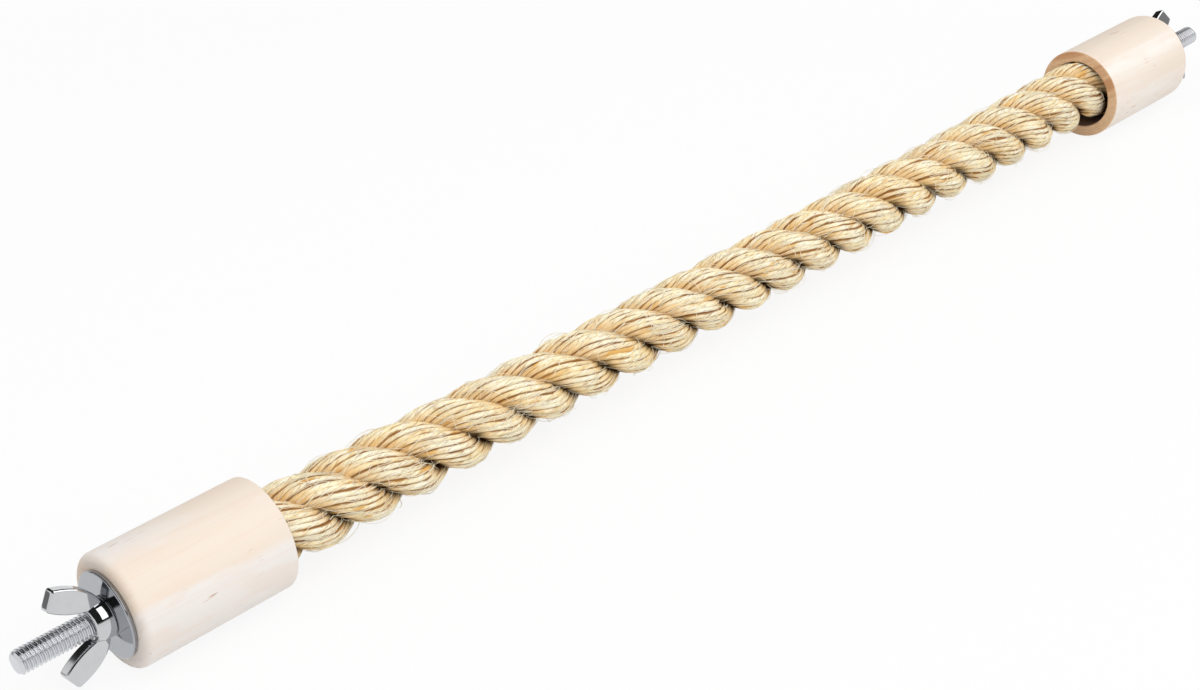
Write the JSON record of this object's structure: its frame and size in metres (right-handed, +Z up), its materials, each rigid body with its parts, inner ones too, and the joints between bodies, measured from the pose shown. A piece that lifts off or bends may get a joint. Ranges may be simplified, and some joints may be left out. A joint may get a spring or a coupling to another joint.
{
  "type": "rope bird perch",
  "caption": "Straight perch of thick laid rope with a turned wooden cap, a threaded stud, a washer and a wing nut at each end, clamped between the bars of a cage.",
  "frame": {"origin": "middle of the perch, on the rope's axis", "axes": "+X along the rope's axis to the right cap and its stud, +Z up, +Y towards the back"},
  "size_m": [0.61, 0.038, 0.038],
  "materials": {
    "rope": "matt plant fibre, laid in three strands",
    "wood": "sanded pale softwood, no varnish",
    "glue": "set adhesive",
    "stud": "bright zinc plating",
    "washer": "nickel plating",
    "wing_nut": "polished nickel plating"
  },
  "bodies": {
    "perch": {"rope_strand_1": "rope", "rope_strand_2": "rope", "rope_strand_3": "rope", "left_cap": "wood", "right_cap": "wood", "left_glue": "glue", "right_glue": "glue", "left_stud": "stud", "right_stud": "stud"},
    "left_washer": {"left_washer": "washer"},
    "left_wing_nut": {"left_wing_nut": "wing_nut"},
    "right_washer": {"right_washer": "washer"},
    "right_wing_nut": {"right_wing_nut": "wing_nut"}
  },
  "joints": [
    {"name": "left_washer_slide", "type": "slide", "parent": "perch", "child": "left_washer", "axis": [-1, 0, 0], "range_m": [0, 0.024]},
    {"name": "left_nut_spin", "type": "hinge", "parent": "left_washer", "child": "left_wing_nut", "pos_m": [-0.273, 0, 0], "axis": [-1, 0, 0], "range_deg": [0, 6120]},
    {"name": "right_washer_slide", "type": "slide", "parent": "perch", "child": "right_washer", "axis": [1, 0, 0], "range_m": [0, 0.024]},
    {"name": "right_nut_spin", "type": "hinge", "parent": "right_washer", "child": "right_wing_nut", "pos_m": [0.273, 0, 0], "axis": [1, 0, 0], "range_deg": [0, 6120]}
  ],
  "couplings": [
    {"joint": "left_washer_slide", "follows": "left_nut_spin", "m_per_rad": 0.00022457},
    {"joint": "right_washer_slide", "follows": "right_nut_spin", "m_per_rad": 0.00022457}
  ]
}
